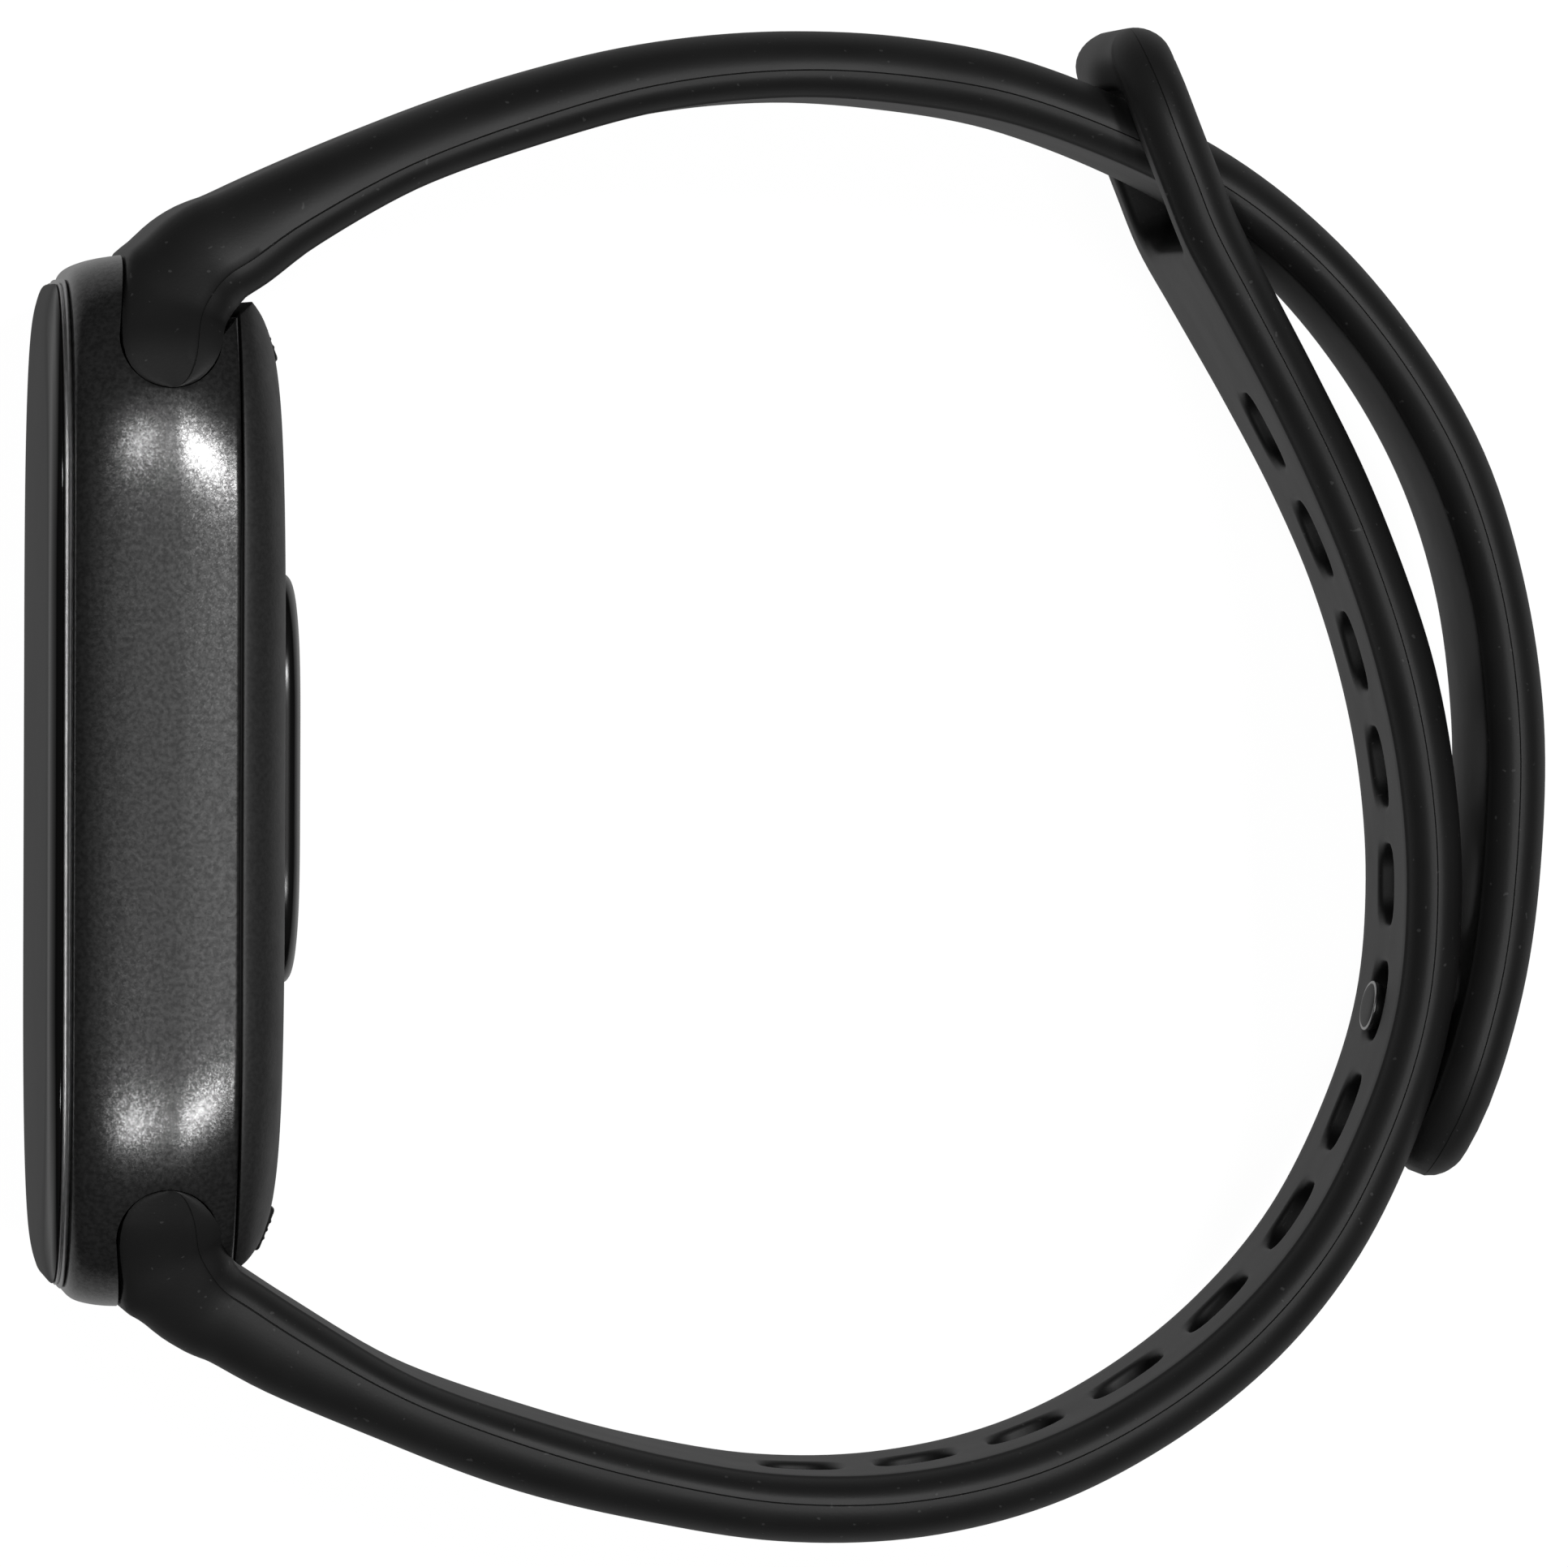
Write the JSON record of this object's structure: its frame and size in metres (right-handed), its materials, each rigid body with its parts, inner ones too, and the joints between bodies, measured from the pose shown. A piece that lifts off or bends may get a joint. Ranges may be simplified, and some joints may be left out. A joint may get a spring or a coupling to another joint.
{
  "type": "fitness tracker band",
  "caption": "Slim fitness tracker with a rounded slab case and a soft two-part strap, closed into a wrist loop by a stud and keeper loop.",
  "frame": {"origin": "middle of the footprint of the closed band, on the surface that the side of its case rests on", "axes": "+Z along the axis of the wrist, -X the way the display faces, +Y towards the strap that carries the stud"},
  "size_m": [0.0612, 0.0616, 0.026],
  "materials": {
    "strap_rubber": "matte moulded silicone, charcoal black",
    "painted_case": "graphite paint with fine metallic flake, satin",
    "textured_cover": "dark graphite, finely spark-textured",
    "dark_glass": "polished black cover lens",
    "polished_trim": "bright diamond-cut chamfer",
    "display_black": "display panel, switched off",
    "seal_black": "soft black seal",
    "ribbon_amber": "amber flexible circuit",
    "frame_nylon": "glass-filled nylon",
    "cell_pouch": "foil pouch",
    "bright_steel": "stamped and turned steel",
    "circuit_board": "green solder mask",
    "sensor_black": "moulded sensor package",
    "sensor_green": "green emitter package",
    "contact_gold": "gold-plated contact"
  },
  "bodies": {
    "band": {"hole_strap": "strap_rubber", "stud_strap_base": "strap_rubber", "mid_case": "painted_case", "back_cover": "textured_cover", "cover_glass": "dark_glass", "sensor_window": "dark_glass", "bezel_trim": "polished_trim", "display_panel": "display_black", "glass_seal": "seal_black", "cover_seal": "seal_black", "display_ribbon": "ribbon_amber", "antenna": "ribbon_amber", "inner_frame": "frame_nylon", "strap_insert_upper": "frame_nylon", "strap_insert_lower": "frame_nylon", "battery": "cell_pouch", "vibration_motor": "bright_steel", "processor_shield": "bright_steel", "board_screw_1": "bright_steel", "board_screw_2": "bright_steel", "board_screw_3": "bright_steel", "board_screw_4": "bright_steel", "tab_spring_upper": "bright_steel", "tab_spring_lower": "bright_steel", "main_board": "circuit_board", "sensor_board": "circuit_board", "photodiode_1": "sensor_black", "photodiode_2": "sensor_black", "sensor_lamp_1": "sensor_green", "sensor_lamp_2": "sensor_green", "charging_pin_1": "contact_gold", "charging_pin_2": "contact_gold"},
    "tail_mid": {"stud_strap_mid": "strap_rubber"},
    "tail_tip": {"stud_strap_tip": "strap_rubber", "stud": "strap_rubber"},
    "tab_upper": {"release_tab_upper": "painted_case"},
    "tab_lower": {"release_tab_lower": "painted_case"}
  },
  "joints": [
    {"name": "strap_bend_at_loop", "type": "hinge", "parent": "band", "child": "tail_mid", "pos_m": [0.02071, 0.02344, 0.013], "axis": [0, 0, 1], "range_deg": [0, 35], "stiffness_Nm_per_rad": 0.012},
    {"name": "strap_bend_at_tail", "type": "hinge", "parent": "tail_mid", "child": "tail_tip", "pos_m": [0.03053, 0.00333, 0.013], "axis": [0, 0, 1], "range_deg": [0, 40], "stiffness_Nm_per_rad": 0.008},
    {"name": "release_tab_upper_slide", "type": "slide", "parent": "band", "child": "tab_upper", "axis": [0.3714, -0.9285, 0], "range_m": [0, 0.0007], "stiffness_N_per_m": 500},
    {"name": "release_tab_lower_slide", "type": "slide", "parent": "band", "child": "tab_lower", "axis": [0.3714, 0.9285, 0], "range_m": [0, 0.0007], "stiffness_N_per_m": 500}
  ]
}
